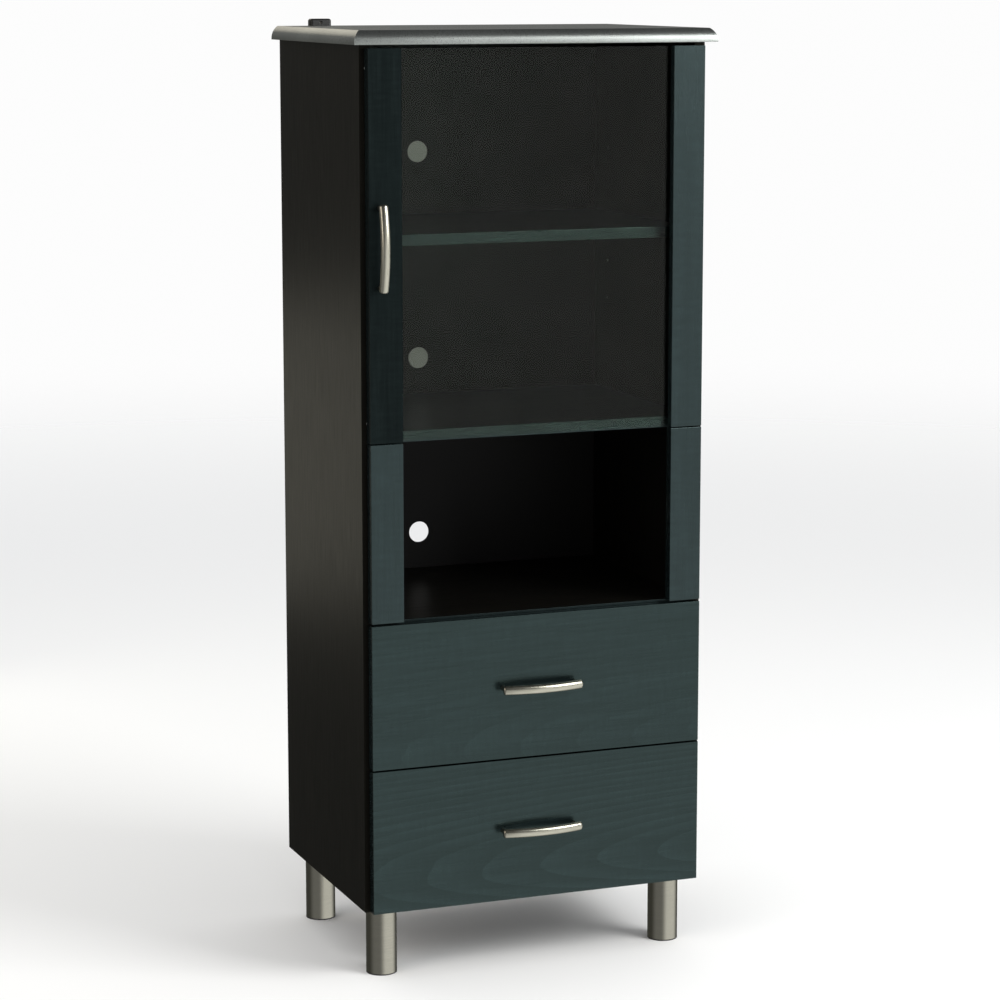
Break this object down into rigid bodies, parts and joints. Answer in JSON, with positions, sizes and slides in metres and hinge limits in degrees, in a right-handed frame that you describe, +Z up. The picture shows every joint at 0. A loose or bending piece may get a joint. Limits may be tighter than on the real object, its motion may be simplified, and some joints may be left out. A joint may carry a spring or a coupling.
{
  "type": "media cabinet",
  "caption": "Tall black media cabinet: framed glass door, open equipment bay and drawers with bow handles, on round metal legs.",
  "frame": {"origin": "bottom centre of the whole cabinet on the floor, handles included", "axes": "+Z up, the door and drawers face -Y, +X to the right seen from the front"},
  "size_m": [0.611, 0.4589, 1.5265],
  "materials": {
    "pewter_foil": "satin metallic foil over board",
    "black_oak_laminate": "black wood-grain laminate",
    "charcoal_oak_laminate": "charcoal wood-grain laminate",
    "black_hardboard": "black printed hardboard",
    "door_pane": "clear tempered float glass",
    "satin_nickel": "satin nickel",
    "zinc_fastener": "zinc plated",
    "hinge_steel": "nickel plated",
    "black_plastic": "fine moulded texture",
    "runner_steel": "black epoxy",
    "clear_bumper": "clear soft polyurethane"
  },
  "bodies": {
    "case": {"adjustable_shelf": "black_oak_laminate", "anti_tip_bracket": "black_plastic", "back_nails": "zinc_fastener", "back_panel": "black_hardboard", "bay_floor": "black_oak_laminate", "bay_stile_battens": "black_oak_laminate", "bay_stile_left": "charcoal_oak_laminate", "bay_stile_right": "charcoal_oak_laminate", "bottom_panel": "black_oak_laminate", "cam_bolts": "zinc_fastener", "cam_locks": "zinc_fastener", "case_screws": "zinc_fastener", "door_compartment_floor": "black_oak_laminate", "hinge_case_leaves": "hinge_steel", "hinge_pins": "hinge_steel", "leg_front_left": "satin_nickel", "leg_front_right": "satin_nickel", "leg_glides": "black_plastic", "leg_rear_left": "satin_nickel", "leg_rear_right": "satin_nickel", "leg_studs": "zinc_fastener", "lower_drawer_runners": "runner_steel", "magnetic_catch": "black_plastic", "shelf_pins": "zinc_fastener", "side_panel_left": "black_oak_laminate", "side_panel_right": "black_oak_laminate", "top_moulding_front": "pewter_foil", "top_moulding_left": "pewter_foil", "top_moulding_right": "pewter_foil", "top_panel": "pewter_foil", "upper_drawer_runners": "runner_steel"},
    "door": {"door_stile_left": "charcoal_oak_laminate", "door_stile_right": "charcoal_oak_laminate", "door_glass": "door_pane", "glass_clips": "black_plastic", "hinge_door_leaves": "hinge_steel", "door_screws": "zinc_fastener", "door_bumpers": "clear_bumper", "catch_strike": "zinc_fastener", "door_handle": "satin_nickel", "door_handle_bolts": "zinc_fastener"},
    "upper_drawer": {"upper_drawer_front": "charcoal_oak_laminate", "upper_drawer_side_left": "black_oak_laminate", "upper_drawer_side_right": "black_oak_laminate", "upper_drawer_back": "black_oak_laminate", "upper_drawer_bottom": "black_hardboard", "upper_drawer_guides": "black_plastic", "upper_drawer_screws": "zinc_fastener", "upper_drawer_handle": "satin_nickel", "upper_drawer_handle_bolts": "zinc_fastener"},
    "lower_drawer": {"lower_drawer_front": "charcoal_oak_laminate", "lower_drawer_side_left": "black_oak_laminate", "lower_drawer_side_right": "black_oak_laminate", "lower_drawer_back": "black_oak_laminate", "lower_drawer_bottom": "black_hardboard", "lower_drawer_guides": "black_plastic", "lower_drawer_screws": "zinc_fastener", "lower_drawer_handle": "satin_nickel", "lower_drawer_handle_bolts": "zinc_fastener"}
  },
  "joints": [
    {"name": "door_swing", "type": "hinge", "parent": "case", "child": "door", "pos_m": [0.28725, -0.17995, 1.18], "axis": [0, 0, 1], "range_deg": [0, 110]},
    {"name": "upper_drawer_slide", "type": "slide", "parent": "case", "child": "upper_drawer", "axis": [0, -1, 0], "range_m": [0, 0.28]},
    {"name": "lower_drawer_slide", "type": "slide", "parent": "case", "child": "lower_drawer", "axis": [0, -1, 0], "range_m": [0, 0.28]}
  ]
}
